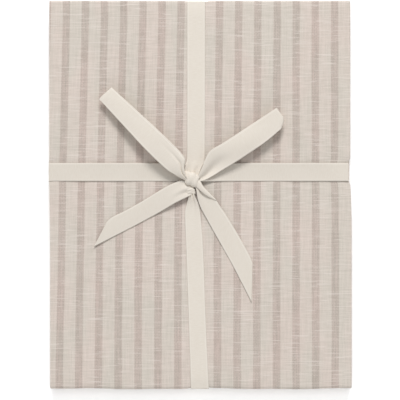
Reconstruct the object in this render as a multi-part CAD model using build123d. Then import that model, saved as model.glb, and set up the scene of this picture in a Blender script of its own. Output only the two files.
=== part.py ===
from build123d import *
from math import atan2, cos, degrees, hypot, radians, sin
import os

# A woven baby wrap folded into a flat parcel and tied crosswise with one length of cotton tape.
# Millimetres. +X runs across the parcel, +Y along it, +Z up. The origin is on the surface that
# the parcel lies on, under the middle of the cloth.

# ---- cloth -----------------------------------------------------------------------------------
cloth_width = 760.0  # cut width of the wrap, hem to hem
parcel_width = 263.0  # width of the middle third, which is the face of the parcel
parcel_length = 338.0  # from one row of folds to the other
ply = 0.4  # one layer of the pressed cloth
plies_per_panel = 3  # the face and the two flaps folded in beneath it
panels_per_half = 7  # zigzag panels on each side of the cloth's middle
layer_gap = 0.05  # between two panels
middle_gap = 0.6  # between the two halves, where the hems, label and markers lie
spine_gap = 0.3  # inside the fold that wraps the near end
hem_setback = 5.0  # how far each hemmed end stays inside the far row of folds
corner_radius = 2.5  # corners of the parcel, seen from above

# ---- sewn-in pieces --------------------------------------------------------------------------
hem_depth = 12.0
thread_thickness = 0.22
thread_width = 0.6
tab_thickness = 0.3
label_width = 30.0
label_length = 42.0
label_inset = 26.0  # from the parcel's long edge
marker_width = 10.0
marker_length = 16.0
middle_clearance = 0.12  # between a sewn-in piece and the panel it faces

# ---- tape ------------------------------------------------------------------------------------
tape_width = 16.0
tape_thickness = 0.4
tape_fit = 0.05  # between the tape and the cloth it is tied round
groove_side = 0.15  # the cloth swells beside the tape by this much less than it sinks
across_y = 19.5  # middle of the band that goes across the parcel
upper_x = -3.0  # middle of the band from the knot to the far folds
lower_x = 0.0  # middle of the lower band where it goes over the spine
crossing_thickness = 0.85  # the two ends crossing each other underneath

# ---- knot and bow ----------------------------------------------------------------------------
knot_x = -7.1
knot_y = 13.2
knot_width = 12.0
knot_length = 10.0
knot_height = 4.75
knot_corner = 4.0
half_knot_width = 13.0
half_knot_length = 12.0
half_knot_height = 0.9
gathered_width = 10.0  # the tape where it is gathered at the knot
gather_run = 20.0  # how far from the knot it has opened to its full width
moving_clearance = 0.3  # between pieces that move and what they lie on

# Each bow piece leaves the knot at a root and runs straight to its far end.
loop_left_root = (-12.5, 19.5)
loop_left_end = (-82.3, 87.5)
loop_right_root = (-0.5, 17.7)
loop_right_end = (71.0, 67.0)
tail_left_root = (-12.1, 5.75)
tail_left_end = (-84.8, -32.5)
tail_right_root = (-0.6, 6.5)
tail_right_end = (45.3, -77.4)
tail_cut = 27.0  # how much longer one edge of a tail is than the other
loop_root_lift = 3.2  # above the cloth
loop_part_share = 0.12  # of its length, from the knot to where the two plies part
loop_left_lift = 4.6  # middle of the far fold above the cloth
loop_left_fold = 2.2  # radius of the far fold
loop_left_belly = 2.2
loop_right_lift = 9.6
loop_right_fold = 2.8
loop_right_belly = 3.2
tail_root_lift = 1.6
tail_left_level = 7.0  # run at that height, over the bands, before the tail comes down
tail_right_level = 21.0
tail_descent = 10.0
tail_joint_share = 0.5  # where the tail's own bend is, as a share of its length

# ---- worked out ------------------------------------------------------------------------------
panel = ply * plies_per_panel
pitch = panel + layer_gap
half_height = panels_per_half * panel + (panels_per_half - 1) * layer_gap
cloth_top = 2 * half_height + middle_gap
bend_radius = panel + layer_gap / 2
spine_radius = 2 * panel
half_width = parcel_width / 2
half_length = parcel_length / 2
groove = tape_thickness + tape_fit
band_bottom = cloth_top + tape_fit
band_top = band_bottom + tape_thickness
over_top = band_top + tape_thickness
half_knot_top = over_top + half_knot_height
half_tape = tape_width / 2
across_low = across_y - half_tape
across_high = across_y + half_tape
free_end = half_length - hem_setback


def slab(x_low, x_high, y_low, y_high, z_low, z_high):
    """A block between six faces."""
    block = Box(x_high - x_low, y_high - y_low, z_high - z_low)
    return Pos((x_low + x_high) / 2, (y_low + y_high) / 2, (z_low + z_high) / 2) * block


def area(y_low, y_high, z_low, z_high):
    """A rectangle in the sketch that is swept across the parcel."""
    return Pos((y_low + y_high) / 2, (z_low + z_high) / 2) * Rectangle(y_high - y_low, z_high - z_low)


def panel_middle(step):
    """Height of the middle of a panel of the lower half, counted from the outermost."""
    return panel / 2 + step * pitch


def half_section():
    """Lower half of the cloth cut along the parcel: a zigzag of panels joined by tight bends."""
    far_bend = half_length - bend_radius
    near_bend = -half_length + panel + spine_gap + bend_radius
    section = area(-half_length + spine_radius, far_bend, 0, panel)
    for step in range(1, panels_per_half):
        last = step == panels_per_half - 1
        far = free_end if last else far_bend
        middle = panel_middle(step)
        section += area(near_bend, far, middle - panel / 2, middle + panel / 2)
    for step in range(panels_per_half - 1):
        at = far_bend if step % 2 == 0 else near_bend
        section += Pos(at, panel_middle(step) + pitch / 2) * Circle(bend_radius)
    return section


def cloth_section():
    """Both halves and the spine, where the middle of the cloth wraps the near end."""
    lower = half_section()
    upper = Pos(0, cloth_top) * mirror(lower, Plane.XZ)
    ring = RectangleRounded(parcel_length, cloth_top, spine_radius)
    ring -= RectangleRounded(parcel_length - 2 * panel, cloth_top - 2 * panel, spine_radius - panel)
    ring = Pos(0, cloth_top / 2) * ring
    near = area(-half_length, -half_length + spine_radius, 0, cloth_top)
    return lower + upper + (ring & near)


def scalloped_section():
    """The cloth's outline from the end: each panel has its own rounded long edges."""
    core = Pos(0, cloth_top / 2) * Rectangle(parcel_width - panel, cloth_top)
    for step in range(panels_per_half):
        row = RectangleRounded(parcel_width, panel, 0.9 * panel / 2)
        core += Pos(0, panel_middle(step)) * row
        core += Pos(0, cloth_top - panel_middle(step)) * row
    return core


def wrap_cloth():
    """The folded cloth, with the shallow grooves that the tight tape presses into it."""
    along = extrude(Plane.YZ * cloth_section(), half_width, both=True)
    across = extrude(Plane.XZ * scalloped_section(), half_length, both=True)
    plan = extrude(RectangleRounded(parcel_width, parcel_length, corner_radius), cloth_top)
    cloth = along & across & plan
    beside = half_tape + groove_side
    low, high = across_y - beside, across_y + beside
    cloth -= slab(-half_width, half_width, low, high, 0, groove)
    cloth -= slab(upper_x - beside, upper_x + beside, across_y, half_length, 0, groove)
    cloth -= slab(lower_x - beside, lower_x + beside, -half_length, across_y, 0, groove)
    crossing_low = min(upper_x, lower_x) - beside
    crossing_high = max(upper_x, lower_x) + beside
    cloth -= slab(crossing_low, crossing_high, low, high, 0, crossing_thickness + tape_fit)
    cloth -= slab(-half_width, -half_width + groove, low, high, 0, cloth_top)
    cloth -= slab(half_width - groove, half_width, low, high, 0, cloth_top)
    far = half_length - groove
    cloth -= slab(upper_x - beside, upper_x + beside, far, half_length, 0, cloth_top)
    cloth -= slab(lower_x - beside, lower_x + beside, -half_length, -far, 0, cloth_top)
    return cloth


def tape_ring(length):
    """Closed outline of the tape where it is tied round the parcel, in a cut through it."""
    outside = Pos(0, band_top / 2) * RectangleRounded(length, band_top, tape_thickness * 0.95)
    inside = area(-length / 2 + tape_thickness, length / 2 - tape_thickness, tape_thickness, band_bottom)
    return outside - inside


def crossing_pad():
    """The two ends of the tape turning round each other under the middle of the parcel."""
    low = min(upper_x, lower_x) - half_tape
    high = max(upper_x, lower_x) + half_tape
    return slab(low, high, across_low, across_high, 0, crossing_thickness)


def tape_across():
    """The middle of the tape: over the top, round both long edges, and in beneath."""
    ring = extrude(Plane.XZ * tape_ring(parcel_width), half_tape, both=True)
    ring = Pos(0, across_y, 0) * ring
    low = min(upper_x, lower_x) - half_tape
    high = max(upper_x, lower_x) + half_tape
    return ring - slab(low, high, across_low, across_high, 0, cloth_top / 2)


def band_top_run(near_x, near_y, far_x, far_y, near_half, far_half, z_low):
    """A flat run of tape on top of the parcel between two straight ends."""
    corners = [(near_x - near_half, near_y), (near_x + near_half, near_y)]
    corners += [(far_x + far_half, far_y), (far_x - far_half, far_y)]
    outline = make_face(Polyline(*corners, close=True))
    return Pos(0, 0, z_low) * extrude(outline, tape_thickness)


def tape_upper():
    """From the crossing underneath, round the far folds and over the top to the knot."""
    ring = extrude(Plane.YZ * tape_ring(parcel_length), half_tape, both=True)
    ring = Pos(upper_x, 0, 0) * ring
    band = ring & slab(-half_width, half_width, across_high, half_length, 0, band_top)
    seat = gathered_width / 2
    over = across_high + 2 * tape_fit
    band -= slab(-half_width, half_width, across_high, over, cloth_top / 2, band_top)
    overlap = over + 2.0
    band += band_top_run(knot_x, across_y + tape_fit, upper_x, overlap, seat, half_tape, band_top)
    return band


def tape_lower():
    """From the crossing underneath, round the spine and over the top to the knot."""
    ring = extrude(Plane.YZ * tape_ring(parcel_length), half_tape, both=True)
    ring = Pos(lower_x, 0, 0) * ring
    below = slab(-half_width, half_width, -half_length, across_low, 0, cloth_top / 2)
    near = slab(-half_width, half_width, -half_length, -half_length + 2, 0, band_top)
    band = (ring & below) + (ring & near)
    seat = gathered_width / 2
    over = across_low - 2 * tape_fit
    start = -half_length + 1
    band += band_top_run(lower_x, start, knot_x, over, half_tape, half_tape, band_bottom)
    overlap = over - 2.0
    band += band_top_run(knot_x, overlap, knot_x, across_y - tape_fit, half_tape, seat, band_top)
    return band


def half_knot():
    """The first crossing of the two ends, flat over the band."""
    pad = extrude(RectangleRounded(half_knot_width, half_knot_length, knot_corner), half_knot_height)
    return Pos(knot_x, knot_y, over_top) * pad


def bow_knot():
    """The turn of tape that is drawn tight round the two loops."""
    lump = extrude(RectangleRounded(knot_width, knot_length, knot_corner), knot_height)
    lump = fillet(lump.edges().group_by(Axis.Z)[-1], knot_height * 0.4)
    return Pos(knot_x, knot_y, half_knot_top) * lump


def heading(root, end):
    """Direction of a bow piece seen from above, in degrees, and its length."""
    run_x = end[0] - root[0]
    run_y = end[1] - root[1]
    return degrees(atan2(run_y, run_x)), hypot(run_x, run_y)


def stood(root, end, shape):
    """Puts a piece drawn along +X from the origin at its root, pointing at its far end."""
    turn, _ = heading(root, end)
    return Location((root[0], root[1], 0), (0, 0, turn)) * shape


def bow_loop(root, end, far_lift, fold, belly):
    """A flat loop of two plies: up over the cloth, round the far fold and back to the knot."""
    _, length = heading(root, end)
    root_z = cloth_top + loop_root_lift
    far_s = length - fold
    far_z = cloth_top + far_lift
    mid_s = far_s / 2
    mid_z = (root_z + far_z) / 2
    nose = tape_thickness  # two plies pressed together
    under = ThreePointArc((0, root_z - nose), (mid_s, mid_z - belly), (far_s, far_z - fold))
    tip = ThreePointArc((far_s, far_z - fold), (length, far_z), (far_s, far_z + fold))
    over = ThreePointArc((far_s, far_z + fold), (mid_s, mid_z + belly), (0, root_z + nose))
    back = ThreePointArc((0, root_z + nose), (-nose, root_z), (0, root_z - nose))
    outside = make_face([under, tip, over, back])
    wall = Vector(0, tape_thickness)
    apart = loop_part_share
    low = ThreePointArc(under @ apart + wall, under @ 0.5 + wall, under @ 1 + wall)
    high = ThreePointArc(over @ 0 - wall, over @ 0.5 - wall, over @ (1 - apart) - wall)
    turn = ThreePointArc(low @ 1, (length - tape_thickness, far_z), high @ 0)
    parting = Line(high @ 1, low @ 0)
    section = outside - make_face([low, turn, high, parting])
    band = extrude(Plane.XZ * section, half_tape, both=True)
    outline = plan_outline(length, length)
    return stood(root, end, band & outline)


def plan_outline(left_length, right_length):
    """A piece of tape seen from above: gathered at the knot, full width beyond, cut at the end."""
    seat = gathered_width / 2
    points = [(-1, -seat), (gather_run, -half_tape), (right_length, -half_tape)]
    points += [(left_length, half_tape), (gather_run, half_tape), (-1, seat)]
    return extrude(make_face(Polyline(*points, close=True)), 3 * cloth_top)


def tail_section(s_low, s_high, level):
    """Side view of a tail between two distances from its root: down to the cloth, then flat."""
    rest_z = cloth_top + moving_clearance + tape_thickness / 2
    root_z = cloth_top + tail_root_lift
    line = [(0, root_z), (level, root_z), (level + tail_descent, rest_z)]
    half = tape_thickness / 2
    points = [(s, z) for s, z in line if s >= s_low]
    if s_low > 0:
        points = [(s_low, rest_z)]
    points.append((s_high, rest_z))
    upper = [(s, z + half) for s, z in points]
    lower = [(s, z - half) for s, z in reversed(points)]
    side = make_face(Polyline(*upper, *lower, close=True))
    return side + Pos(points[0]) * Circle(half)


def tail(root, end, level, longer_left, far_part):
    """One tail of the bow, as far as its own bend or beyond it, with its slanting cut."""
    _, length = heading(root, end)
    bend = length * tail_joint_share
    long_edge = length + tail_cut / 2
    short_edge = length - tail_cut / 2
    gap = tape_thickness / 2 + moving_clearance
    s_low, s_high = (bend, long_edge) if far_part else (0, bend - gap)
    section = tail_section(s_low, s_high, level)
    band = extrude(Plane.XZ * section, half_tape, both=True)
    left, right = (long_edge, short_edge) if longer_left else (short_edge, long_edge)
    return stood(root, end, band & plan_outline(left, right))


def hem_thread(height, row):
    """The line of stitching across one hemmed end, on the inner face of its panel."""
    y = free_end - hem_depth - row * 2 * thread_width
    side = half_width - hem_depth
    thread = slab(-side, side, y - thread_width, y, 0, thread_thickness)
    return Pos(0, 0, height) * thread


def tab(x, y, width, length, height):
    """A small woven tab lying flat between the two halves."""
    return Pos(x, y, height + tab_thickness / 2) * Box(width, length, tab_thickness)


def middle_markers():
    """Tabs sewn to both long edges at the middle of the cloth's length, so beside the spine."""
    x = half_width - hem_depth
    y = -half_length + panel + spine_gap + bend_radius + marker_length
    z = half_height + middle_clearance
    return Compound([tab(-x, y, marker_width, marker_length, z), tab(x, y, marker_width, marker_length, z)])


def care_label():
    """The label sewn in at the hem of one end."""
    x = -half_width + label_inset + label_width / 2
    y = free_end - 2 * hem_depth - label_length / 2
    return tab(x, y, label_width, label_length, half_height + middle_clearance)


def report_hinge(name, root, end, share, lift):
    """Prints where a bow piece bends, and the axis that lifts it."""
    turn, length = heading(root, end)
    x = root[0] + (end[0] - root[0]) * share
    y = root[1] + (end[1] - root[1]) * share
    axis = (round(sin(radians(turn)), 5), round(-cos(radians(turn)), 5))
    print(name, "at", round(x, 3), round(y, 3), round(cloth_top + lift, 3), "axis", axis, "run", round(length, 1))


nodes = {
    "wrap_cloth": wrap_cloth(),
    "hem_thread_first": hem_thread(half_height + tape_fit, 0),
    "hem_thread_last": hem_thread(cloth_top - half_height - tape_fit - thread_thickness, 2),
    "care_label": care_label(),
    "middle_markers": middle_markers(),
    "tape_across": tape_across(),
    "tape_upper": tape_upper(),
    "tape_lower": tape_lower(),
    "tape_crossing": crossing_pad(),
    "half_knot": half_knot(),
    "bow_knot": bow_knot(),
    "bow_loop_left": bow_loop(loop_left_root, loop_left_end, loop_left_lift, loop_left_fold, loop_left_belly),
    "bow_loop_right": bow_loop(
        loop_right_root, loop_right_end, loop_right_lift, loop_right_fold, loop_right_belly
    ),
    "tail_left": tail(tail_left_root, tail_left_end, tail_left_level, True, False),
    "tail_left_end": tail(tail_left_root, tail_left_end, tail_left_level, True, True),
    "tail_right": tail(tail_right_root, tail_right_end, tail_right_level, False, False),
    "tail_right_end": tail(tail_right_root, tail_right_end, tail_right_level, False, True),
}

os.makedirs("parts", exist_ok=True)
for node, shape in nodes.items():
    export_step(shape, f"parts/{node}.step")

flap = (cloth_width - parcel_width) / 2
cloth_length = 2 * panels_per_half * parcel_length + cloth_top
print("cloth", cloth_width, "wide, about", round(cloth_length), "long, each flap", flap)
print("cloth top", round(cloth_top, 3), "half height", round(half_height, 3))
rest_lift = moving_clearance + tape_thickness / 2
report_hinge("bow_loop_left", loop_left_root, loop_left_end, 0, loop_root_lift)
report_hinge("bow_loop_right", loop_right_root, loop_right_end, 0, loop_root_lift)
report_hinge("tail_left", tail_left_root, tail_left_end, 0, tail_root_lift)
report_hinge("tail_left_end", tail_left_root, tail_left_end, tail_joint_share, rest_lift)
report_hinge("tail_right", tail_right_root, tail_right_end, 0, tail_root_lift)
report_hinge("tail_right_end", tail_right_root, tail_right_end, tail_joint_share, rest_lift)
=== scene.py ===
# %% [markdown]
# # A folded baby wrap tied with cotton tape
# A baby wrap is one long cloth with no buckles. Here it is folded into a flat parcel and tied
# crosswise with one length of cream tape that ends in a bow. Everything in this lesson is soft,
# so nearly every piece is a sheet: a grid of points laid where the cloth or tape really runs.

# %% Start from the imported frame
import math
import bmesh
import bpy
import numpy as np
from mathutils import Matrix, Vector


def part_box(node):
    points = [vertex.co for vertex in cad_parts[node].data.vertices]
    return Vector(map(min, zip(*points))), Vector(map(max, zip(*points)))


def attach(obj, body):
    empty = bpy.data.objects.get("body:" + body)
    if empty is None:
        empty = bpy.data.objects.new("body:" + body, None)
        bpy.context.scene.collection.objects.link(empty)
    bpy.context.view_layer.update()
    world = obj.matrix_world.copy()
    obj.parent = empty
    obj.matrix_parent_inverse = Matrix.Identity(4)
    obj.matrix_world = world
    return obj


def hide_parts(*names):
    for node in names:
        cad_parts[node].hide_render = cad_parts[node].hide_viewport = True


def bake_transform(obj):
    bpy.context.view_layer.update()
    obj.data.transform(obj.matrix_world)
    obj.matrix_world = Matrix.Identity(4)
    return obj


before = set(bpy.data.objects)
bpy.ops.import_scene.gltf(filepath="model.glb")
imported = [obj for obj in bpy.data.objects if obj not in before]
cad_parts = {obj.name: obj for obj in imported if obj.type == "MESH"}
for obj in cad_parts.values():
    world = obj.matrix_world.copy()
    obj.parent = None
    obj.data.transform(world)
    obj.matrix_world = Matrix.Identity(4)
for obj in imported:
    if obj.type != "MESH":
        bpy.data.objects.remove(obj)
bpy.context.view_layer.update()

MM = 0.001
cloth_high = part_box("wrap_cloth")[1]
HALF_WIDTH = cloth_high.x / MM
HALF_LENGTH = cloth_high.y / MM
TOP = cloth_high.z / MM
band_low, band_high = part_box("tape_across")
ACROSS_Y = (band_low.y + band_high.y) / 2 / MM
HALF_TAPE = (band_high.y - band_low.y) / 2 / MM
upper_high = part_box("tape_upper")[1]
UPPER_X = upper_high.x / MM - HALF_TAPE
print("parcel", 2 * HALF_WIDTH, "by", 2 * HALF_LENGTH, "by", round(TOP, 2), "mm")

# %% [markdown]
# ## The studio
# The parcel lies on a white table and is seen from straight above. One large soft light stands
# beyond the far end, so every lifted edge throws a soft shadow towards the near end. A weak
# light opposite and a pale sky fill the shadows, and a third light falls on the table alone.
# The camera stands far off with a long lens, which keeps the four sides from showing.

# %% Camera, floor and lights
CAMERA_HEIGHT = 2.5
VIEW_WIDTH = 348.8 * MM  # how much of the parcel's top the frame takes in
camera = bpy.data.objects.new("camera", bpy.data.cameras.new("camera"))
SENSOR = 36
camera.data.sensor_width = SENSOR
camera.data.lens = SENSOR * (CAMERA_HEIGHT - TOP * MM) / VIEW_WIDTH
camera.data.clip_end = 20
camera.location = (0.2 * MM, -4.8 * MM, CAMERA_HEIGHT)
bpy.context.scene.collection.objects.link(camera)
bpy.context.scene.camera = camera

bpy.context.scene.view_settings.view_transform = "Standard"
SKY = 0.50
world = bpy.data.worlds.new("pale sky")
world.use_nodes = True
world.node_tree.nodes["Background"].inputs["Color"].default_value = (0.985, 0.995, 1.0, 1)
world.node_tree.nodes["Background"].inputs["Strength"].default_value = SKY
bpy.context.scene.world = world


def soft_light(name, place, size, power, only=None):
    """A square panel that faces the parcel. With only, it lights that collection and nothing else."""
    lamp = bpy.data.objects.new(name, bpy.data.lights.new(name, "AREA"))
    lamp.data.size = size
    lamp.data.energy = power
    lamp.location = place
    lamp.rotation_euler = (Vector((0, 0, 0)) - Vector(place)).to_track_quat("-Z", "Y").to_euler()
    bpy.context.scene.collection.objects.link(lamp)
    if only is not None:
        lamp.light_linking.receiver_collection = only


floor_mesh = bpy.data.meshes.new("table")
floor_mesh.from_pydata([(-4, -4, 0), (4, -4, 0), (4, 4, 0), (-4, 4, 0)], [], [(0, 1, 2, 3)])
floor = bpy.data.objects.new("table", floor_mesh)
floor.location = (0, 0, -0.0002)
bpy.context.scene.collection.objects.link(floor)
paper = bpy.data.materials.new("white table")
paper.use_nodes = True
paper.node_tree.nodes["Principled BSDF"].inputs["Base Color"].default_value = (0.93, 0.93, 0.93, 1)
paper.node_tree.nodes["Principled BSDF"].inputs["Roughness"].default_value = 0.9
paper.node_tree.nodes["Principled BSDF"].inputs["Specular IOR Level"].default_value = 0.1
floor_mesh.materials.append(paper)

table_only = bpy.data.collections.new("table only")
table_only.objects.link(floor)
soft_light("window", (0.1, 4.45, 3.7), 1.75, 245.0)
soft_light("wall opposite", (0.0, -4.0, 1.6), 2.5, 32.0)
soft_light("table glow", (0.0, 0.0, 2.0), 1.8, 23.5, only=table_only)
print("camera lens", round(camera.data.lens), "mm")

# %% [markdown]
# ## How the parcel has settled
# Pressed cloth is never a perfect block. Its top is a little pillowed, it sinks under the tight
# tape, its long edges are drawn in where the tape goes round, and no two folds end at quite the
# same place. One function moves any point of the ideal block to where the cloth really is, so
# the cloth and whatever lies on it always agree.

# %% Settling
def hump(distance, reach):
    """1 at no distance, fading to 0 a little beyond reach."""
    return np.exp(-((distance / reach) ** 2))


def inside(distance, half, soft):
    """1 within half of a line and 0 outside it, with a soft edge."""
    return 1 / (1 + np.exp(np.clip((np.abs(distance) - half) / soft, -60, 60)))


def step_up(value, low, high):
    """0 below low, 1 above high, smooth between."""
    share = np.clip((value - low) / (high - low), 0, 1)
    return share * share * (3 - 2 * share)


def lower_band_x(y):
    """Middle of the lower band, which runs a little askew from the knot to the spine."""
    share = np.clip((ACROSS_Y - y) / (ACROSS_Y + HALF_LENGTH), 0, 1)
    return -7.4 + 7.4 * share ** 0.9


def along_mask(x, y, half, soft):
    """Where the tape runs along the parcel."""
    middle = np.where(y > ACROSS_Y, UPPER_X, lower_band_x(y))
    return inside(x - middle, half, soft)


def settled(x, y, z):
    """The place of an ideal point, in millimetres, once the parcel is pressed and tied."""
    x, y, z = (np.asarray(value, float) for value in (x, y, z))
    share = np.clip(z / TOP, 0, 1)
    below_top = 1 - step_up(z, TOP - 1.9, TOP - 1.2)
    side = HALF_WIDTH - np.abs(x)
    far = HALF_LENGTH - y
    near = HALF_LENGTH + y
    across = inside(y - ACROSS_Y, HALF_TAPE + 1.0, 1.2)
    along = along_mask(x, y, HALF_TAPE + 0.6, 1.0)
    swell = 0.30 * np.sin(x / 37 + 0.6) * np.sin(y / 46 + 1.1) + 0.16 * np.sin(x / 17 + y / 29)
    swell = swell + 0.07 * np.sin(x / 9.1 - y / 13.3 + 0.4)
    drop = 0.75 * hump(side, 3.2) + 0.35 * hump(far, 2.4) + 0.2 * hump(near, 3.6)
    drop = drop + 1.5 * across * hump(side, 7) + 1.3 * along * (hump(far, 7) + hump(near, 6))
    tight = 0.32 * np.maximum(across, along)
    new_z = z + share * (swell - drop) - share ** 3 * tight
    under = np.maximum(inside(y - ACROSS_Y, HALF_TAPE + 0.3, 0.25), along_mask(x, y, HALF_TAPE + 0.3, 0.25))
    crossing = inside(x + 1.5, 12, 0.8) * inside(y - ACROSS_Y, HALF_TAPE + 1, 0.5)
    new_z = np.maximum(new_z, 0.20 + (0.42 * under + 0.5 * crossing) * (z < 2))
    # the long edges: drawn in by the tape, wandering a little from fold to fold
    right = -0.4 + 1.2 * step_up(-y, -25, 30)
    left = -1.1 + 0.7 * step_up(y, -60, 20)
    pull = np.where(x > 0, right - 2.0 * across, -left - 0.6 * across) * (np.abs(x) / HALF_WIDTH) ** 6
    ragged = 0.5 * np.abs(np.sin(z * 1.31 + 0.7)) + 0.35 * np.abs(np.sin(z * 3.7 + y * 0.021))
    new_x = x + pull - np.sign(x) * below_top * ragged * hump(side, 12)
    # the folded ends: the near one is the wavy spine
    wave = 0.38 * np.sin(x / 19 + 1.0) + 0.22 * np.sin(x / 8.3)
    ends = -np.sign(y) * below_top * (0.45 * np.abs(np.sin(z * 1.9 + 0.3)) + 0.2 * np.abs(np.sin(x / 31 + z)))
    new_y = y + hump(near, 9) * (wave - 0.6 + 0.9 * along) + hump(far, 9) * (ends - 0.9 * along)
    return new_x, new_y, new_z


def cloth_height(x, y):
    """Height of the cloth's top face at a place seen from above."""
    return settled(x, y, np.full(np.shape(x), TOP))[2]


tried = cloth_height(np.array([130, 60, 60]), np.array([167, -60, ACROSS_Y]))
print("top at a corner, on open cloth and under the band", tried.round(2), "mm")

# %% [markdown]
# ## A sheet from a grid of points
# Cloth and tape are both made the same way. A grid of points gives the middle of the sheet, its
# UV map holds true distances across and along the weave in metres, and Solidify gives it its
# thickness. The result is turned into a plain mesh.

# %% Grid, thickness and finish
def plain(piece):
    """Applies a piece's modifiers, leaving a plain mesh."""
    graph = bpy.context.evaluated_depsgraph_get()
    mesh = bpy.data.meshes.new_from_object(piece.evaluated_get(graph))
    piece.modifiers.clear()
    piece.data = mesh
    for polygon in mesh.polygons:
        polygon.use_smooth = True
    return piece


def walked(points):
    """How far each point of a line is from its start, along the line."""
    steps = np.linalg.norm(np.diff(points, axis=0), axis=1)
    return np.concatenate([[0], np.cumsum(steps)])


def sheet_from(name, points, weave, thickness, material, painted_shade=1.0):
    """A sheet through points[row, column] in mm, columns running left to right seen along the rows.
    weave[row, column] is (across, along) in mm. The last argument darkens its colour a little, as painted
    shade."""
    rows, columns, _ = points.shape
    index = np.arange(rows * columns).reshape(rows, columns)
    corners = [index[:-1, :-1], index[:-1, 1:], index[1:, 1:], index[1:, :-1]]
    faces = np.stack(corners, -1).reshape(-1, 4)
    mesh = bpy.data.meshes.new(name)
    mesh.from_pydata((points.reshape(-1, 3) * MM).tolist(), [], faces.tolist())
    layer = mesh.uv_layers.new(name="weave")
    corner = np.zeros(len(mesh.loops), int)
    mesh.loops.foreach_get("vertex_index", corner)
    layer.data.foreach_set("uv", (weave.reshape(-1, 2)[corner] * MM).ravel())
    # painted shade, one value a point, which the tape's material multiplies into its colour
    shade = mesh.attributes.new("painted_shade", "FLOAT", "POINT")
    shade.data.foreach_set("value", np.full(rows * columns, painted_shade))
    mesh.materials.append(material)
    piece = bpy.data.objects.new(name, mesh)
    bpy.context.scene.collection.objects.link(piece)
    wall = piece.modifiers.new("thickness", "SOLIDIFY")
    wall.thickness = thickness * MM
    wall.offset = 0
    wall.use_even_offset = False
    return plain(piece)


def smooth_path(knots, count):
    """Points on a smooth curve through the given ones (Catmull-Rom), evenly spaced along it."""
    knots = np.asarray(knots, float)
    ends = np.vstack([2 * knots[0] - knots[1], knots, 2 * knots[-1] - knots[-2]])
    fine = []
    for a, b, c, d in zip(ends[:-3], ends[1:-2], ends[2:-1], ends[3:]):
        t = np.linspace(0, 1, 25)[:, None]
        curve = 2 * b + (c - a) * t + (2 * a - 5 * b + 4 * c - d) * t ** 2
        fine.append((curve + (3 * b - a - 3 * c + d) * t ** 3) / 2)
    fine = np.vstack(fine)
    length = walked(fine)
    at = np.linspace(0, length[-1], count)
    return np.stack([np.interp(at, length, fine[:, axis]) for axis in range(fine.shape[1])], 1)


# %% [markdown]
# ## The striped weave
# The cloth is a plain weave of cream and taupe yarn. The stripes are in the warp, so they run
# the length of the wrap; the weft is all cream and crosses every stripe, with here and there a
# thick slub. The pattern reads the UV map, which is in metres, so a yarn is as wide here as it
# is on the loom, and it follows the cloth round every fold.

# %% Node helpers
def linear(level):
    """An sRGB level of 0 to 255 as linear light."""
    share = level / 255
    return share / 12.92 if share <= 0.04045 else ((share + 0.055) / 1.055) ** 2.4


def feed(tree, value, target):
    """Gives an input a number, a colour as an sRGB triple of 0 to 255, or another node's output."""
    if isinstance(value, tuple):
        target.default_value = (*[linear(level) for level in value], 1)
    elif isinstance(value, (int, float)):
        target.default_value = value
    else:
        tree.links.new(value, target)


def math_node(tree, operation, first, second=None):
    """A Math node on one or two values. Returns its output."""
    node = tree.nodes.new("ShaderNodeMath")
    node.operation = operation
    feed(tree, first, node.inputs[0])
    if second is not None:
        feed(tree, second, node.inputs[1])
    return node.outputs[0]


def times(tree, first, second):
    return math_node(tree, "MULTIPLY", first, second)


def rib(tree, distance, pitch):
    """A sine wave that repeats every pitch along a distance."""
    return math_node(tree, "SINE", times(tree, distance, 2 * math.pi / pitch))


def ramp_between(tree, value, low, high, to_low=0.0, to_high=1.0):
    """A smooth step of a value between two limits."""
    node = tree.nodes.new("ShaderNodeMapRange")
    node.interpolation_type = "SMOOTHSTEP"
    feed(tree, value, node.inputs["Value"])
    limits = {"From Min": low, "From Max": high, "To Min": to_low, "To Max": to_high}
    for name, number in limits.items():
        node.inputs[name].default_value = number
    return node.outputs["Result"]


def mixed(tree, factor, first, second, way="MIX"):
    """Two colours mixed, or multiplied when way says so."""
    node = tree.nodes.new("ShaderNodeMix")
    node.data_type = "RGBA"
    node.blend_type = way
    for place, value in ((0, factor), (6, first), (7, second)):
        feed(tree, value, node.inputs[place])
    return node.outputs[2]


def grain(tree, across, across_scale, along, along_scale, third=0.0, detail=2.0):
    """Noise with about across_scale grains to each unit of across, and so along. third picks
    another part of the noise."""
    place = tree.nodes.new("ShaderNodeCombineXYZ")
    feed(tree, times(tree, across, across_scale), place.inputs["X"])
    feed(tree, times(tree, along, along_scale), place.inputs["Y"])
    feed(tree, third, place.inputs["Z"])
    noise = tree.nodes.new("ShaderNodeTexNoise")
    noise.inputs["Scale"].default_value = 1.0
    noise.inputs["Detail"].default_value = detail
    feed(tree, place.outputs[0], noise.inputs["Vector"])
    return noise.outputs["Fac"]


def woven_surface(name):
    """A rough cloth material with its tree, its shader and the two distances of the weave."""
    material = bpy.data.materials.new(name)
    material.use_nodes = True
    tree = material.node_tree
    shader = tree.nodes["Principled BSDF"]
    shader.inputs["Specular IOR Level"].default_value = 0.18
    shader.inputs["Sheen Weight"].default_value = 0.12
    shader.inputs["Sheen Roughness"].default_value = 0.45
    layer = tree.nodes.new("ShaderNodeUVMap")
    layer.uv_map = "weave"
    split = tree.nodes.new("ShaderNodeSeparateXYZ")
    feed(tree, layer.outputs[0], split.inputs[0])
    return material, tree, shader, split.outputs["X"], split.outputs["Y"]


def raised(tree, shader, height, depth, strength):
    """Gives the shader a bump of the given depth in metres."""
    bump = tree.nodes.new("ShaderNodeBump")
    bump.inputs["Distance"].default_value = depth
    bump.inputs["Strength"].default_value = strength
    feed(tree, height, bump.inputs["Height"])
    feed(tree, bump.outputs[0], shader.inputs["Normal"])


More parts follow.
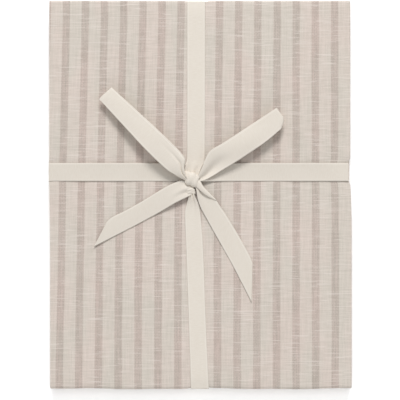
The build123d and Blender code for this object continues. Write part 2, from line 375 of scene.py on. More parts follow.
# %% The cloth's material
STRIPE_PITCH = 16.73 * MM
DARK_HALF = 3.2 * MM  # half the width of a taupe stripe
STRIPE_BLUR = 0.45 * MM  # how far a stripe's edge is soft to each side
FIRST_STRIPE = 116.5  # how far left of the middle the first taupe stripe lies, in mm
YARN = 0.62 * MM
LIGHT_WARP = ((208, 199, 189), (225, 214, 206))
TAUPE_WARP = ((160, 145, 137), (194, 174, 167))
LIGHT_WEFT = ((203, 195, 185), (226, 216, 207))
CLOUDS = ((250, 251, 249), (255, 251, 250))
SLUB = (232, 222, 214)


def striped_weave():
    material, tree, shader, across, along = woven_surface("striped weave")
    # how far a point is from the middle of its taupe stripe, which wanders a little
    wander = math_node(tree, "SUBTRACT", grain(tree, across, 60.0, along, 9.0), 0.5)
    place = math_node(tree, "ADD", across, FIRST_STRIPE * MM + STRIPE_PITCH / 2)
    place = math_node(tree, "ADD", place, times(tree, wander, 0.9 * MM))
    cell = math_node(tree, "FRACT", math_node(tree, "DIVIDE", place, STRIPE_PITCH))
    share = math_node(tree, "ABSOLUTE", math_node(tree, "SUBTRACT", cell, 0.5))
    reach = times(tree, share, STRIPE_PITCH)
    taupe = ramp_between(tree, reach, DARK_HALF + STRIPE_BLUR, DARK_HALF - STRIPE_BLUR)
    # yarn by yarn: which warp yarn, which weft yarn, and which of the two is on top
    warp = math_node(tree, "DIVIDE", across, YARN)
    weft = math_node(tree, "DIVIDE", along, YARN)
    warp_wave = math_node(tree, "SINE", times(tree, warp, math.pi))
    weft_wave = math_node(tree, "SINE", times(tree, weft, math.pi))
    check = times(tree, warp_wave, weft_wave)
    over = ramp_between(tree, check, -0.25, 0.25)
    warp_row = math_node(tree, "FLOOR", warp)
    weft_row = math_node(tree, "FLOOR", weft)
    warp_yarn = grain(tree, warp_row, 3.71, along, 42.0, detail=3.0)
    weft_yarn = grain(tree, across, 55.0, weft_row, 2.93, 7.0, detail=3.0)
    warp_share = ramp_between(tree, warp_yarn, 0.3, 0.7)
    weft_share = ramp_between(tree, weft_yarn, 0.3, 0.7)
    light_warp = mixed(tree, warp_share, *LIGHT_WARP)
    taupe_warp = mixed(tree, warp_share, *TAUPE_WARP)
    light_weft = mixed(tree, weft_share, *LIGHT_WEFT)
    colour = mixed(tree, over, light_weft, mixed(tree, taupe, light_warp, taupe_warp))
    cloudy = ramp_between(tree, grain(tree, across, 38.0, along, 15.0, 3.0), 0.35, 0.65)
    clouded = mixed(tree, 1.0, colour, mixed(tree, cloudy, *CLOUDS), "MULTIPLY")
    # slubs: short thick places in single weft yarns
    slub = ramp_between(tree, grain(tree, across, 42.0, weft_row, 5.17, 2.0), 0.57, 0.68)
    final = mixed(tree, times(tree, slub, 0.5), clouded, SLUB)
    feed(tree, final, shader.inputs["Base Color"])
    crown = math_node(tree, "ABSOLUTE", check)
    height = math_node(tree, "ADD", times(tree, crown, 0.6), times(tree, slub, 0.8))
    height = math_node(tree, "ADD", height, times(tree, weft_yarn, 0.6))
    raised(tree, shader, height, 0.12 * MM, 0.55)
    feed(tree, ramp_between(tree, weft_yarn, 0.3, 0.7, 0.86, 0.96), shader.inputs["Roughness"])
    return material


weave = striped_weave()
print("stripes every", STRIPE_PITCH / MM, "mm, yarns every", YARN / MM, "mm")

# %% [markdown]
# ## Folding the cloth
# The cloth is folded in three across its width, so its two hemmed edges lie hidden, and then in
# a zigzag along its length, both halves towards the middle, and closed like a book. So the near
# end is one smooth spine and the far end shows a row of folds. The path below is the middle of
# that three-ply strip, seen from the side; the section is the strip cut across. Each panel's
# points are the section carried along the path.

# %% The path of the folds
PLY = 0.4
PLIES = 3
PANELS = 7
LAYER_GAP = 0.05
SPINE_GAP = 0.3
HEM_SETBACK = 5.0  # how far the hemmed end lies inside the far folds
PANEL = PLY * PLIES
PITCH = PANEL + LAYER_GAP
FAR_BEND = HALF_LENGTH - PANEL - LAYER_GAP / 2
NEAR_BEND = -HALF_LENGTH + 2 * PANEL + SPINE_GAP + LAYER_GAP / 2
SPINE_RADIUS = 1.5 * PANEL
SPINE_Y = -HALF_LENGTH + 2 * PANEL


def run(start_y, end_y, z, count):
    """A straight run: y, z and the direction that the cloth's face looks."""
    y = np.linspace(start_y, end_y, count)
    way = math.copysign(1, end_y - start_y)
    return np.stack([y, np.full(count, z), np.zeros(count), np.full(count, -way)], 1)


def turn(middle_y, middle_z, radius, start, end, count, outward):
    """An arc between two angles, counted from +Y towards +Z. outward: the face is on its outside."""
    angle = np.radians(np.linspace(start, end, count))
    way = np.stack([np.cos(angle), np.sin(angle)], 1)
    side = way if outward else -way
    return np.hstack([np.array([middle_y, middle_z]) + radius * way, side])


def upper_half(count):
    """From the hemmed end inside the stack, out to the panel on top. count: points a panel."""
    legs = []
    for step in range(PANELS - 1, 0, -1):
        z = TOP - PANEL / 2 - step * PITCH
        towards_near = step % 2 == 0
        start, finish = (FAR_BEND, NEAR_BEND) if towards_near else (NEAR_BEND, FAR_BEND)
        if step == PANELS - 1:
            start = HALF_LENGTH - HEM_SETBACK
        legs.append(run(start, finish, z, count))
        middle = z + PITCH / 2
        if towards_near:
            legs.append(turn(NEAR_BEND, middle, PITCH / 2, 270, 90, 9, outward=False))
        elif step > 1:
            legs.append(turn(FAR_BEND, middle, PITCH / 2, -90, 90, 9, outward=True))
    return np.vstack(legs)


def mirrored(path):
    """The same folds in the other half, walked from the outside in."""
    flipped = path[::-1].copy()
    flipped[:, 1] = TOP - flipped[:, 1]
    flipped[:, 3] = -flipped[:, 3]
    return flipped


TOP_ROWS = 116
BOTTOM_ROWS = 34
SPINE_ROWS = 12


def cover_path():
    """The outermost turn: far fold, top panel, spine, bottom panel, far fold."""
    top_z = TOP - PANEL / 2
    legs = [turn(FAR_BEND, top_z - PITCH / 2, PITCH / 2, -90, 90, 11, outward=True)]
    legs.append(run(FAR_BEND, SPINE_Y, top_z, TOP_ROWS))
    legs.append(turn(SPINE_Y, TOP - 2 * PANEL, SPINE_RADIUS, 90, 180, 7, outward=True))
    down = np.linspace(TOP - 2 * PANEL, 2 * PANEL, SPINE_ROWS + 2)[1:-1]
    spine_face = np.full(SPINE_ROWS, -HALF_LENGTH + PANEL / 2)
    outwards = np.full(SPINE_ROWS, -1.0)
    legs.append(np.stack([spine_face, down, outwards, np.zeros(SPINE_ROWS)], 1))
    legs.append(turn(SPINE_Y, 2 * PANEL, SPINE_RADIUS, 180, 270, 7, outward=True))
    bottom = run(SPINE_Y, FAR_BEND, PANEL / 2, BOTTOM_ROWS)
    bottom[:, 3] = -1
    legs.append(bottom)
    legs.append(turn(FAR_BEND, PANEL / 2 + PITCH / 2, PITCH / 2, -90, 90, 11, outward=True))
    return np.vstack(legs)


def without_repeats(path):
    """Drops the second of two points that are the same, where two legs meet."""
    steps = np.linalg.norm(np.diff(path[:, :2], axis=0), axis=1)
    return path[np.concatenate([[True], steps > 1e-4])]


cover = without_repeats(cover_path())
inner = without_repeats(upper_half(18))
cover_length = walked(cover[:, :2])[-1]
inner_length = walked(inner[:, :2])[-1]
print("cover turn", round(cover_length), "mm long, inner half", round(inner_length), "mm")

# %% The section across the strip
FLAP_END = 119.0  # how far each hemmed edge reaches past the middle
FOLD_POINTS = 5


def section(face_count, flap_count):
    """Across the strip from one hemmed edge to the other: x, offset from the middle ply, and the
    distance across the weave."""
    left_x = -HALF_WIDTH + PLY
    right_x = HALF_WIDTH - PLY / 2
    under = np.stack([np.linspace(FLAP_END, left_x, flap_count), np.full(flap_count, -PLY)], 1)
    angle = np.radians(np.linspace(270, 90, FOLD_POINTS + 2)[1:-1])
    left_fold = np.stack([left_x + PLY * np.cos(angle), PLY * np.sin(angle)], 1)
    face = np.stack([np.linspace(left_x, right_x, face_count), np.full(face_count, PLY)], 1)
    angle = np.radians(np.linspace(90, -90, FOLD_POINTS + 2)[1:-1])
    right_fold = np.stack([right_x + PLY / 2 * np.cos(angle), PLY / 2 + PLY / 2 * np.sin(angle)], 1)
    between = np.stack([np.linspace(right_x, -FLAP_END, flap_count), np.zeros(flap_count)], 1)
    line = np.vstack([under, left_fold, face, right_fold, between])
    length = walked(line)
    across = length - length[flap_count + FOLD_POINTS] + left_x
    return line, across


CLOTH_WALL = 0.36  # thinner than a ply, so that the plies do not touch
MOST_LEAN = 6.9


def lean(x, y):
    """How far the stripes lean to the left of straight at a place on the cloth, in mm. The cloth was
    folded a little off its grain: the lean grows towards the near end and the left edge."""
    share = np.clip((HALF_LENGTH - 12 - y) / 314, 0, 1.1)
    from_first = x + FIRST_STRIPE
    from_right = 1 - np.clip(from_first / 225, -0.1, 1)
    power = 1 + np.clip(from_first, 0, None) / 67
    grown = 1 - np.abs(1 - share) ** power
    return -MOST_LEAN * np.sign(from_right) * np.abs(from_right) ** 1.4 * grown


def folded_cloth(name, path, start, face_count, flap_count):
    """Carries the section along a path and settles every point. start: how much of the cloth lies
    before this piece."""
    line, across = section(face_count, flap_count)
    y = path[:, None, 0] + line[None, :, 1] * path[:, None, 2]
    z = path[:, None, 1] + line[None, :, 1] * path[:, None, 3]
    x = np.broadcast_to(line[None, :, 0], y.shape)
    at_edge = np.clip(x, -HALF_WIDTH, HALF_WIDTH)
    grain_x = at_edge - lean(at_edge - lean(at_edge, y), y)
    along = np.broadcast_to((start + walked(path[:, :2]))[:, None], y.shape)
    weave_map = np.stack([across[None, :] + grain_x - at_edge, along], -1)
    points = np.stack(settled(x, y, z), -1)
    return sheet_from(name, points, weave_map, CLOTH_WALL, weave)


def second_map(piece, path, face_count, flap_count):
    """Lays the piece out on a second square, used when its patterns are turned into pictures. The
    cloth that faces outwards gets most of the square, and the cloth inside the folds very little."""
    line, _ = section(face_count, flap_count)
    length = walked(path[:, :2])
    top_rows = np.flatnonzero(np.abs(path[:, 1] - path[:, 1].max()) < 1e-6)
    bottom_rows = np.flatnonzero(np.abs(path[:, 1] - PANEL / 2) < 1e-6)
    marks = [0, top_rows[0], top_rows[-1], bottom_rows[0], bottom_rows[-1], -1]
    u = np.interp(length, length[marks], [0.004, 0.03, 0.69, 0.75, 0.97, 0.996])
    width = walked(line)
    first = flap_count + FOLD_POINTS
    last = first + face_count - 1
    marks = [0, flap_count - 1, first, last, last + FOLD_POINTS + 1, -1]
    v = np.interp(width, width[marks], [0, 0.05, 0.07, 0.93, 0.95, 1])
    rows = len(u)
    columns = len(v)
    mesh = piece.data
    vertex = np.zeros(len(mesh.loops), int)
    mesh.loops.foreach_get("vertex_index", vertex)
    height = np.zeros(len(mesh.vertices) * 3)
    mesh.vertices.foreach_get("co", height)
    height = height[2::3]
    shell, place = np.divmod(vertex, rows * columns)
    row, column = np.divmod(place, columns)
    middle = top_rows[len(top_rows) // 2] * columns + first + face_count // 2
    outer_shell = int(height[middle + rows * columns] > height[middle])
    at_u = u[row]
    at_v = np.where(shell == outer_shell, 0.004 + 0.9 * v[column], 0.912 + 0.05 * v[column])
    # the narrow faces round the sheet's border join both shells and have four slots of their own
    start = np.zeros(len(mesh.polygons), int)
    mesh.polygons.foreach_get("loop_start", start)
    corners = np.diff(np.append(start, len(vertex)))
    both_shells = np.maximum.reduceat(shell, start) > np.minimum.reduceat(shell, start)
    border = np.repeat(both_shells, corners)
    one_row = np.maximum.reduceat(row, start) == np.minimum.reduceat(row, start)
    along_rows = np.repeat(one_row, corners)
    slot = np.where(along_rows, np.where(row == 0, 0, 1), np.where(column == 0, 2, 3))
    at_u = np.where(border & along_rows, 0.004 + 0.99 * v[column], at_u)
    at_v = np.where(border, 0.971 + 0.0075 * slot + 0.004 * shell, at_v)
    layer = mesh.uv_layers.new(name="OFBake", do_init=False)
    layer.data.foreach_set("uv", np.stack([at_u, at_v], -1).ravel())
    mesh.uv_layers.active = mesh.uv_layers["weave"]


wrap_cover = folded_cloth("wrap_cover", cover, inner_length, 90, 30)
second_map(wrap_cover, cover, 90, 30)
wrap_upper = folded_cloth("wrap_upper_panels", inner, 0, 44, 14)
wrap_lower = folded_cloth("wrap_lower_panels", mirrored(inner), inner_length + cover_length, 44, 14)
for piece in (wrap_cover, wrap_upper, wrap_lower):
    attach(piece, "parcel")
    print(piece.name, len(piece.data.polygons), "faces")
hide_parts("wrap_cloth")

# %% [markdown]
# ## Sewn-in trims
# Both ends of the wrap are hemmed with a line of cream stitching. A care label is sewn in near
# one hem, and a pair of small tabs marks the middle of the cloth, which a parent looks for by
# touch. All of them lie between the two halves of the folded parcel. Stitches repeat, so one
# stitch is made and set out along each hem at a given pitch.

# %% Stitching
def plain_finish(name, colour, roughness):
    """One colour with a fine slanting twist, with painted shade a little deeper in its hollows."""
    material, tree, shader, across, along = woven_surface(name)
    twist = rib(tree, math_node(tree, "ADD", across, along), 0.5 * MM)
    # painted shade: the twist's hollows get a colour 7 levels deeper
    deeper = tuple(level - 7 for level in colour)
    shade = mixed(tree, ramp_between(tree, twist, -1, 1), deeper, colour)
    feed(tree, shade, shader.inputs["Base Color"])
    raised(tree, shader, twist, 0.03 * MM, 0.4)
    shader.inputs["Roughness"].default_value = roughness
    return material


thread = plain_finish("sewing thread", (232, 226, 214), 0.7)
satin = plain_finish("woven label", (238, 235, 228), 0.6)
STITCH_PITCH = 0.0026
STITCH_LENGTH = 0.0019
HEM_END = 0.001  # cloth left without a stitch at each end of a hem


def stitch_group():
    """Sets out stitches along X. Inputs: Length, Pitch, Stitch and Finish."""
    group = bpy.data.node_groups.new("hem stitching", "GeometryNodeTree")
    group.interface.new_socket("Geometry", in_out="OUTPUT", socket_type="NodeSocketGeometry")
    for name, value in (("Length", 0.239), ("Pitch", STITCH_PITCH), ("Stitch", STITCH_LENGTH)):
        size = group.interface.new_socket(name, in_out="INPUT", socket_type="NodeSocketFloat")
        size.default_value = value
    group.interface.new_socket("Finish", in_out="INPUT", socket_type="NodeSocketMaterial")
    given = group.nodes.new("NodeGroupInput")
    half = group.nodes.new("ShaderNodeMath")
    half.operation = "MULTIPLY"
    half.inputs[1].default_value = 0.5
    group.links.new(given.outputs["Length"], half.inputs[0])
    line = group.nodes.new("GeometryNodeCurvePrimitiveLine")
    for side, sign in (("Start", -1), ("End", 1)):
        corner = group.nodes.new("ShaderNodeCombineXYZ")
        signed = group.nodes.new("ShaderNodeMath")
        signed.operation = "MULTIPLY"
        signed.inputs[1].default_value = sign
        group.links.new(half.outputs[0], signed.inputs[0])
        group.links.new(signed.outputs[0], corner.inputs["X"])
        group.links.new(corner.outputs[0], line.inputs[side])
    spaced = group.nodes.new("GeometryNodeResampleCurve")
    spaced.mode = "LENGTH"
    group.links.new(line.outputs[0], spaced.inputs["Curve"])
    group.links.new(given.outputs["Pitch"], spaced.inputs["Length"])
    stitch = group.nodes.new("GeometryNodeMeshUVSphere")
    stitch.inputs["Segments"].default_value = 12
    stitch.inputs["Rings"].default_value = 8
    stitch.inputs["Radius"].default_value = 0.5
    size = group.nodes.new("ShaderNodeCombineXYZ")
    size.inputs["Y"].default_value = 0.0005
    size.inputs["Z"].default_value = 0.0002
    group.links.new(given.outputs["Stitch"], size.inputs["X"])
    placed = group.nodes.new("GeometryNodeInstanceOnPoints")
    group.links.new(spaced.outputs[0], placed.inputs["Points"])
    group.links.new(stitch.outputs[0], placed.inputs["Instance"])
    group.links.new(size.outputs[0], placed.inputs["Scale"])
    real = group.nodes.new("GeometryNodeRealizeInstances")
    finish = group.nodes.new("GeometryNodeSetMaterial")
    out = group.nodes.new("NodeGroupOutput")
    group.links.new(placed.outputs[0], real.inputs[0])
    group.links.new(real.outputs[0], finish.inputs["Geometry"])
    group.links.new(given.outputs["Finish"], finish.inputs["Material"])
    group.links.new(finish.outputs[0], out.inputs[0])
    return group


stitching = stitch_group()


def hem_stitches(name, node):
    """A line of stitches where the CAD has the hem's thread."""
    low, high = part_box(node)
    mesh = bpy.data.meshes.new(name)
    piece = bpy.data.objects.new(name, mesh)
    bpy.context.scene.collection.objects.link(piece)
    modifier = piece.modifiers.new("stitches", "NODES")
    modifier.node_group = stitching
    length = high.x - low.x - 2 * HEM_END
    wanted = {"Length": length, "Pitch": STITCH_PITCH, "Stitch": STITCH_LENGTH, "Finish": thread}
    for item in stitching.interface.items_tree:
        if item.in_out == "INPUT":
            modifier[item.identifier] = wanted[item.name]
    plain(piece)
    middle = (low + high) / 2
    for vertex in piece.data.vertices:
        vertex.co += middle
    if "weave" not in piece.data.uv_layers:
        piece.data.uv_layers.new(name="weave")
    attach(piece, "parcel")
    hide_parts(node)
    return piece


hem_stitches_first = hem_stitches("hem_stitches_first", "hem_thread_first")
hem_stitches("hem_stitches_last", "hem_thread_last")
print("stitches:", len(hem_stitches_first.data.polygons), "faces a row")


# %% Label and middle markers
def tab(name, low, high):
    """A small woven tab lying flat between two corners, slightly curled."""
    columns = np.linspace(low.x, high.x, 13) / MM
    rows = np.linspace(low.y, high.y, 19) / MM
    x, y = np.meshgrid(columns, rows)
    from_left = x - columns[0]
    from_near = y - rows[0]
    z = (low.z + high.z) / 2 / MM + 0.05 * np.sin(from_left / 6) * np.sin(from_near / 8)
    weave_map = np.stack([from_left, from_near], -1)
    piece = sheet_from(name, np.stack([x, y, z], -1), weave_map, 0.22, satin)
    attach(piece, "parcel")
    return piece


label_low, label_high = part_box("care_label")
label = tab("sewn_in_label", label_low, label_high)
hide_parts("care_label")
marker_low, marker_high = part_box("middle_markers")
MARKER_WIDTH = 0.010
left_high = Vector((marker_low.x + MARKER_WIDTH, marker_high.y, marker_high.z))
right_low = Vector((marker_high.x - MARKER_WIDTH, marker_low.y, marker_low.z))
marker_left = tab("middle_marker_left", marker_low, left_high)
marker_right = tab("middle_marker_right", right_low, marker_high)
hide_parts("middle_markers")

# %% [markdown]
# ## The cotton tape
# The parcel is tied with one cut length of cotton tape, 16 mm wide. It is a close plain weave,
# and at each edge the returning weft packs a slightly paler line. The middle of the tape lies
# across the top; both ends go round the long edges, cross underneath, come back over the two
# short ends and are tied on top in a bow.

# %% The tape's material
TAPE = 16.0
WALL = 0.35  # thickness of the tape


TAPE_PALE = (229, 221, 210)
TAPE_DEEP = (225, 216, 204)
TAPE_LINE = (238, 231, 221)
PAINTED_SHADE_ACROSS_LIGHT = 0.955  # painted shade: tape that runs across the light is coloured a little deeper, for the shade its ribs throw on themselves


def woven_tape():
    material, tree, shader, across, along = woven_surface("cotton tape")
    yarn = grain(tree, across, 220.0, along, 1400.0, 1.0)
    cloudy = grain(tree, across, 60.0, along, 45.0, 5.0)
    base = mixed(tree, ramp_between(tree, yarn, 0.3, 0.7), TAPE_DEEP, TAPE_PALE)
    soft = mixed(tree, times(tree, ramp_between(tree, cloudy, 0.35, 0.65), 0.35), base, TAPE_PALE)
    # the paler line lies 1 mm in from each edge
    from_middle = math_node(tree, "ABSOLUTE", math_node(tree, "SUBTRACT", across, TAPE / 2 * MM))
    from_edge = math_node(tree, "SUBTRACT", TAPE / 2 * MM, from_middle)
    from_line = math_node(tree, "ABSOLUTE", math_node(tree, "SUBTRACT", from_edge, 1.0 * MM))
    line = ramp_between(tree, from_line, 0.55 * MM, 0.1 * MM)
    final = mixed(tree, times(tree, line, 0.55), soft, TAPE_LINE)
    # painted shade: a per-point factor darkens tape that runs across the light
    painted_shade = tree.nodes.new("ShaderNodeAttribute")
    painted_shade.attribute_name = "painted_shade"
    with_painted_shade = mixed(tree, 1.0, final, painted_shade.outputs["Color"], "MULTIPLY")
    feed(tree, with_painted_shade, shader.inputs["Base Color"])
    shader.inputs["Roughness"].default_value = 0.88
    ribs = times(tree, rib(tree, along, 0.55 * MM), rib(tree, across, 0.7 * MM))
    height = math_node(tree, "ADD", times(tree, ribs, 0.5), yarn)
    raised(tree, shader, height, 0.03 * MM, 0.4)
    return material


tape_weave = woven_tape()


# %% A strip of tape between two edges
def strip(left, right, columns, ripple):
    """Points of a tape lying between two edge lines of equally many points, its weave map and its
    length. ripple(share along, share across) lifts it, for gathers and pleats."""
    across = np.linspace(0, 1, columns)[None, :]
    points = left[:, None, :] + (right - left)[:, None, :] * across[:, :, None]
    length = walked((left + right) / 2)
    share = length / length[-1]
    points[:, :, 2] += ripple(share[:, None], across)
    weave_map = np.stack(np.broadcast_arrays(TAPE * across, length[:, None]), -1)
    return points, weave_map, length[-1]


def tape_piece(name, left, right, columns, ripple, painted_shade=1.0):
    """A finished piece of tape and its length in mm."""
    points, weave_map, length = strip(left, right, columns, ripple)
    return sheet_from(name, points, weave_map, WALL, tape_weave, painted_shade), length


def on_cloth(edge, lift):
    """Lays an edge line (x, y) on the cloth, lift mm above it. lift is one number, or one a point."""
    edge = np.asarray(edge, float)
    return np.column_stack([edge, cloth_height(edge[:, 0], edge[:, 1]) + np.asarray(lift)])


RESTS = 0.2  # height of the middle of a tape that lies on the table


def fold_over(sign, end, edge_at, top_z, inner, axis):
    """One edge of a tape that goes over an end or side of the parcel, down it and back beneath. end
    is how far out it goes, edge_at where it lies sideways and inner where it stops beneath."""
    bend = np.radians(np.linspace(90, 0, 6))[1:]
    over = [(end - 1 + math.cos(a), top_z - 1 + math.sin(a)) for a in bend]
    wall = [(end, z) for z in np.linspace(top_z - 2, 2, 8)]
    under = [(end - 1 + math.cos(a), 1 + RESTS + math.sin(a)) for a in np.radians(np.linspace(0, -90, 6))]
    floor_run = [(along, RESTS) for along in np.linspace(end - 3, inner * sign, 24)]
    rows = np.array(over + wall + under + floor_run)
    along = sign * rows[:, 0]
    fixed = np.full(len(rows), edge_at)
    first, second = (fixed, along) if axis == "y" else (along, fixed)
    return np.column_stack([first, second, rows[:, 1]])


# %% The band across, and how its near edge stands a little proud
def across_edge(y, lift):
    """One edge of the band, evened out over five points, so that it bridges the smallest hollows."""
    x = np.linspace(-130.6, 128.7, 130)
    top = on_cloth(np.column_stack([x, np.full(len(x), y)]), 0)
    top[:, 2] = np.convolve(np.pad(top[:, 2], 2, mode="edge"), np.ones(5) / 5, mode="valid")
    top[:, 2] += lift(x)
    left = fold_over(-1, 131.6, y, top[0, 2], -11.0, "x")[::-1]
    right = fold_over(1, 129.7, y, top[-1, 2], 8.0, "x")
    return np.vstack([left, top, right])


def far_lift(x):
    held_down = 1.05 * hump(x + 4, 16) + 0.9 * hump(130 - np.abs(x), 14)
    return 1.25 - held_down + 0.08 * np.sin(x / 23)


def near_lift(x):
    at_knot = 3.2 * hump(x - 1, 7.5)
    return 0.42 + at_knot + 0.2 * np.sin(x / 15.5 + 1) + 0.14 * np.sin(x / 6.1)


def pressed(along, across):
    """The band's middle is pressed down a little where it lies on the top."""
    on_top = step_up(along, 0.27, 0.31) * step_up(1 - along, 0.27, 0.31)
    return -0.25 * on_top * np.sin(math.pi * across) ** 0.5


far_line = across_edge(ACROSS_Y + HALF_TAPE, far_lift)
near_line = across_edge(ACROSS_Y - HALF_TAPE, near_lift)
tape_across, across_length = tape_piece("band_across", far_line, near_line, 15, pressed, PAINTED_SHADE_ACROSS_LIGHT)

# %% The bands from the knot to the far folds and to the spine
def top_line(knots, lifts, rows):
    """An edge of a band on the top of the parcel: (x, y) places and how far above the cloth."""
    path = smooth_path(np.column_stack([knots, lifts]), rows)
    return on_cloth(path[:, :2], path[:, 2])


def band(name, left_knots, right_knots, lifts, sign, end, inner, rows, ripple):
    """A band from the knot over one end. The arguments from sign to inner are fold_over's."""
    left = top_line(left_knots, lifts, rows)
    right = top_line(right_knots, lifts, rows)
    left = np.vstack([left, fold_over(sign, end, left[-1, 0], left[-1, 2], inner, "y")])
    right = np.vstack([right, fold_over(sign, end, right[-1, 0], right[-1, 2], inner, "y")])
    return tape_piece(name, left, right, 15, ripple)


UPPER_LEFT = [(-12.4, 15.0), (-13.7, 21.5), (-12.4, 27.5), (-11.4, 32.0), (-11.2, 60.0),
              (-11.2, 110.0), (-11.2, 167.4)]
UPPER_RIGHT = [(-3.0, 14.5), (-0.9, 17.6), (2.4, 25.0), (4.4, 31.0), (4.7, 60.0),
               (4.8, 110.0), (4.8, 167.4)]
UPPER_LIFTS = [2.0, 1.5, 0.95, 0.40, 0.28, 0.28, 0.28]
LOWER_LEFT = [(-8.4, 6.0), (-9.0, 0.5), (-9.9, -3.5), (-11.2, -8.0), (-13.0, -17.4),
              (-12.1, -44.4), (-10.1, -100.4), (-7.9, -167.9)]
LOWER_RIGHT = [(-5.4, 6.0), (-5.0, 1.5), (-3.5, -3.1), (-0.9, -8.0), (0.7, -17.5),
               (3.0, -46.0), (5.0, -100.4), (7.9, -167.9)]
LOWER_LIFTS = [2.9, 3.1, 2.6, 1.3, 0.45, 0.28, 0.28, 0.28]
SHARE_TO_MM = 380  # turns a share along a band into about a distance


def pleats(across, count, start):
    """A wave of so many pleats across the tape."""
    return np.sin(2 * math.pi * (count * across + start))


def upper_gather(along, across):
    near = hump(along * SHARE_TO_MM, 12)
    return 0.75 * near * pleats(across, 2.2, 0.1) + 0.12 * np.sin(math.pi * across)


def lower_gather(along, across):
    near = hump(along * SHARE_TO_MM, 17)
    far = hump(along * SHARE_TO_MM, 40)
    return 0.9 * near * pleats(across, 2.4, 0.3) + 0.3 * far * pleats(across, 1.5, 0.1)


tape_upper, upper_length = band("band_upper", UPPER_LEFT, UPPER_RIGHT, UPPER_LIFTS,
                                1, 168.6, 28.0, 84, upper_gather)
tape_lower, lower_length = band("band_lower", LOWER_LEFT, LOWER_RIGHT, LOWER_LIFTS,
                                -1, 169.5, 11.0, 96, lower_gather)
print("bands", round(across_length), round(upper_length), round(lower_length), "mm")


# %% Where the two ends turn round each other underneath
TURN_LENGTH = 19.0  # mm of tape in each turn
TURN_COLUMNS = 17


def diagonal_turn(name, start, fold, leave, low, high):
    """A tape that folds over along a diagonal and leaves at a right angle. start, fold and leave
    are the lines of points across it there, in plan. It arrives at height low and leaves at high."""

    def rows(first, second, z_first, z_second, count):
        share = np.linspace(0, 1, count)[:, None, None]
        plan = first[None] + (second - first)[None] * share
        height = np.broadcast_to(z_first + (z_second - z_first) * share, plan.shape[:2] + (1,))
        return np.concatenate([plan, height], -1)

    arriving = rows(start, fold, low, low, 7)[:-1]
    folding = rows(fold, fold + 1e-3, low, high, 3)[:-1]
    leaving = rows(fold, leave, high, high, 7)
    points = np.concatenate([arriving, folding, leaving])
    across = np.linspace(0, TAPE, TURN_COLUMNS)
    length = walked(points[:, TURN_COLUMNS // 2])
    weave_map = np.stack(np.broadcast_arrays(across[None, :], length[:, None]), -1)
    return sheet_from(name, points, weave_map, WALL, tape_weave)


def line_across(x, y):
    """The line of points across the tape. x and y are one number each, or one for every point."""
    return np.column_stack([np.broadcast_to(x, TURN_COLUMNS), np.broadcast_to(y, TURN_COLUMNS)])


width = np.linspace(0, TAPE, TURN_COLUMNS)
crossing_first = diagonal_turn("crossing_first", line_across(-11.0, 11.5 + width),
                               line_across(-8.9 + width, 11.5 + width),
                               line_across(-11.0 + width, 28.2), RESTS, 0.6)
crossing_second = diagonal_turn("crossing_second", line_across(8.5, 27.5 - width),
                                line_across(5.9 - width, 27.5 - width),
                                line_across(8.0 - width, 10.8), 0.24, 0.66)


# %% [markdown]
# ## The knot
# A tape that is pulled tight does not stay flat: it gathers into a rope and its two edges roll
# under. Each turn of the knot is modelled as a short length of tape bent round an oval, with
# slanting creases where the gathers run. The half knot lies below and shows as a small bump on
# the near side; the turn of the bow lies over it and holds both loops.

# %% Turns of the knot
def turn_of_tape(name, middle, half_run, half_width, low, high, heading, creases, lean_over):
    """A gathered turn. heading: the direction in plan in which the tape runs over the top.
    lean_over skews it, so that the tape crosses what it holds at a slant."""
    angle = np.radians(np.linspace(-35, 215, 49))[:, None]
    across = np.linspace(-1, 1, 33)[None, :]
    roll = np.sqrt(np.clip(1 - 0.97 * np.abs(across) ** 2.4, 0, 1))
    wide_crease = np.sin(across * 5.2 + angle * 1.7 + 0.4)
    fine_crease = 0.45 * np.sin(across * 11 - angle * 2.3 + 1.0)
    crease = creases * (wide_crease + fine_crease) * (1 - 0.5 * across ** 2)
    run_part = -np.cos(angle) * (half_run * (0.72 + 0.28 * roll) + crease)
    height = low + (high - low) * (0.5 + 0.5 * np.sin(angle)) * (0.42 + 0.58 * roll)
    height = height + crease * np.clip(np.sin(angle), 0, 1)
    wide = 1 + 0.10 * np.cos(angle + 0.5) + 0.06 * np.sin(angle * 3)
    side_part = across * half_width * wide + lean_over * np.cos(angle)
    way = np.array([math.cos(math.radians(heading)), math.sin(math.radians(heading))])
    side = np.array([-way[1], way[0]])
    x = middle[0] + run_part * way[0] + side_part * side[0]
    y = middle[1] + run_part * way[1] + side_part * side[1]
    points = np.stack([x, y, height], -1)
    length = (angle - angle[0]) * half_run
    weave_map = np.stack(np.broadcast_arrays((across + 1) / 2 * TAPE, length), -1)
    middle_length = walked(points[:, across.size // 2])[-1]
    return sheet_from(name, points, weave_map, WALL, tape_weave), middle_length


bow_knot, bow_turn_length = turn_of_tape("bow_turn", (-6.9, 13.2), 5.7, 6.4, 18.9, 25.0,
                                         -108, 0.32, -1.1)
half_knot, half_turn_length = turn_of_tape("half_knot_turn", (-8.3, 3.6), 3.6, 3.7, 18.9, 22.2,
                                           205, 0.22, 0.6)
print("turns of the knot:", round(bow_turn_length), "and", round(half_turn_length), "mm of tape")

# %% [markdown]
# ## Loops and tails
# A loop is one length of tape that leaves the knot, folds back at its far end and returns. The
# tape is stiff enough to stand a few millimetres off the cloth, so each loop floats and throws
# a soft shadow. The tails are single and lie down on the parcel, and each is cut at a slant.

# %% Loops
LOOP_ROWS = 60
LOOP_COLUMNS = 29


